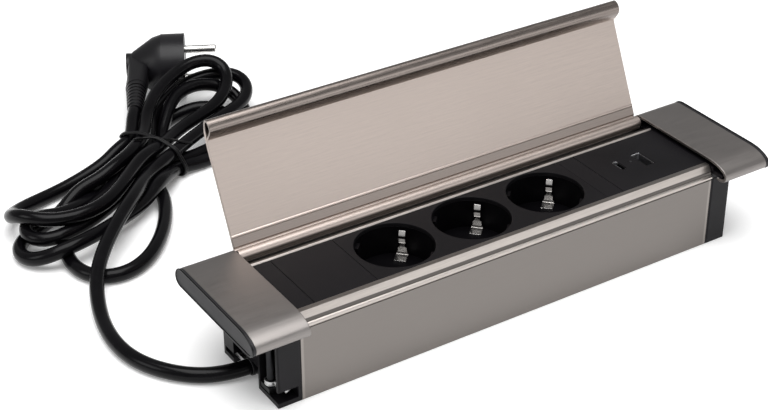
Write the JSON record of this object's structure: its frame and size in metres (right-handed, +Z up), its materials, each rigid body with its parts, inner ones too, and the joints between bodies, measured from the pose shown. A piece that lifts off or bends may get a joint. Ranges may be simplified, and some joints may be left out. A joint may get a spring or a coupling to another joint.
{
  "type": "built-in desk socket",
  "caption": "Desk-top power trough with round earthed outlets, charging ports, a hinged roll-front lid, fixed end covers and a coiled mains lead with an angled plug.",
  "frame": {"origin": "middle of the underside of the trough, on the surface it stands on", "axes": "+X along the desk edge towards the charging ports, +Y away from the user, +Z up"},
  "size_m": [0.3366, 0.338, 0.1074],
  "materials": {
    "lid_metal": "brushed, anodised warm grey",
    "cover_metal": "brushed, anodised, darker",
    "trough_metal": "brushed along its length",
    "housing_plastic": "moulded, satin",
    "insert_plastic": "moulded, fine texture",
    "inner_plastic": "moulded",
    "terminal_plastic": "moulded",
    "shutter_plastic": "moulded",
    "bright_steel": "nickel plated, light scratches",
    "zinc_steel": "zinc plated",
    "black_steel": "black-zinc plated",
    "contact_brass": "stamped strip",
    "wire_insulation": "extruded",
    "board": "solder resist",
    "light_pipe": "clear, frosted end",
    "lead_sheath": "glossy flexible sheath",
    "plug_rubber": "moulded, satin",
    "tie_plastic": "coated wire"
  },
  "bodies": {
    "base": {"front_rail": "trough_metal", "rear_rail": "trough_metal", "floor_plate": "trough_metal", "end_left": "housing_plastic", "end_right": "housing_plastic", "cap_left": "cover_metal", "cap_right": "cover_metal", "cap_plate_left": "housing_plastic", "cap_plate_right": "housing_plastic", "strip_left": "insert_plastic", "blank_panel": "insert_plastic", "socket_fascia": "insert_plastic", "socket_cup_1": "insert_plastic", "socket_cup_2": "insert_plastic", "socket_cup_3": "insert_plastic", "strip_mid": "insert_plastic", "usb_face": "insert_plastic", "earth_clips": "bright_steel", "earth_bar": "contact_brass", "shutter_guides": "inner_plastic", "contact_tray": "inner_plastic", "busbar_l": "contact_brass", "busbar_n": "contact_brass", "usb_a_shell": "bright_steel", "usb_c_shell": "bright_steel", "usb_tongues": "inner_plastic", "usb_pcb": "board", "usb_case": "inner_plastic", "usb_power_unit": "inner_plastic", "led_pipe": "light_pipe", "terminal_block": "terminal_plastic", "terminal_screws": "zinc_steel", "conductors": "wire_insulation", "feed_wires": "wire_insulation", "cord_clamp": "housing_plastic", "cord_clamp_screws": "zinc_steel", "cord_gland": "plug_rubber", "end_screws": "zinc_steel", "rear_feet": "zinc_steel", "hinge_pins": "zinc_steel", "cord_lead": "lead_sheath", "cord_loop": "lead_sheath", "cord_tail": "lead_sheath", "cord_hank": "lead_sheath", "cord_tie": "tie_plastic", "plug_body": "plug_rubber", "plug_pins": "bright_steel", "plug_earth": "bright_steel", "plug_relief": "plug_rubber"},
    "lid_leaf": {"lid": "lid_metal"},
    "shutter_a": {"shutter_1": "shutter_plastic"},
    "shutter_b": {"shutter_2": "shutter_plastic"},
    "shutter_c": {"shutter_3": "shutter_plastic"},
    "screw_left": {"clamp_screw_left": "black_steel"},
    "nut_left": {"clamp_nut_left": "black_steel"},
    "claw_left": {"clamp_claw_left": "zinc_steel"},
    "screw_right": {"clamp_screw_right": "black_steel"},
    "nut_right": {"clamp_nut_right": "black_steel"},
    "claw_right": {"clamp_claw_right": "zinc_steel"}
  },
  "joints": [
    {"name": "lid_hinge", "type": "hinge", "parent": "base", "child": "lid_leaf", "pos_m": [0, 0.0326, 0.0462], "axis": [1, 0, 0], "range_deg": [0, 115]},
    {"name": "shutter_a_slide", "type": "slide", "parent": "base", "child": "shutter_a", "axis": [0.7071, -0.7071, 0], "range_m": [0, 0.0055], "stiffness_N_per_m": 60, "springref_m": -0.003},
    {"name": "shutter_b_slide", "type": "slide", "parent": "base", "child": "shutter_b", "axis": [0.7071, -0.7071, 0], "range_m": [0, 0.0055], "stiffness_N_per_m": 60, "springref_m": -0.003},
    {"name": "shutter_c_slide", "type": "slide", "parent": "base", "child": "shutter_c", "axis": [0.7071, -0.7071, 0], "range_m": [0, 0.0055], "stiffness_N_per_m": 60, "springref_m": -0.003},
    {"name": "screw_left_turn", "type": "hinge", "parent": "base", "child": "screw_left", "pos_m": [-0.1314, -0.0134, 0.02], "axis": [0, 0, -1], "range_deg": [0, 11160]},
    {"name": "nut_left_lift", "type": "slide", "parent": "base", "child": "nut_left", "axis": [0, 0, 1], "range_m": [0, 0.0217]},
    {"name": "claw_left_swing", "type": "hinge", "parent": "nut_left", "child": "claw_left", "pos_m": [-0.1314, -0.0134, 0.0068], "axis": [0, 0, -1], "range_deg": [0, 90]},
    {"name": "screw_right_turn", "type": "hinge", "parent": "base", "child": "screw_right", "pos_m": [0.1314, -0.0134, 0.02], "axis": [0, 0, -1], "range_deg": [0, 11160]},
    {"name": "nut_right_lift", "type": "slide", "parent": "base", "child": "nut_right", "axis": [0, 0, 1], "range_m": [0, 0.0217]},
    {"name": "claw_right_swing", "type": "hinge", "parent": "nut_right", "child": "claw_right", "pos_m": [0.1314, -0.0134, 0.0068], "axis": [0, 0, 1], "range_deg": [0, 90]}
  ],
  "couplings": [
    {"joint": "screw_left_turn", "follows": "nut_left_lift", "rad_per_m": 8975.9},
    {"joint": "screw_right_turn", "follows": "nut_right_lift", "rad_per_m": 8975.9}
  ]
}
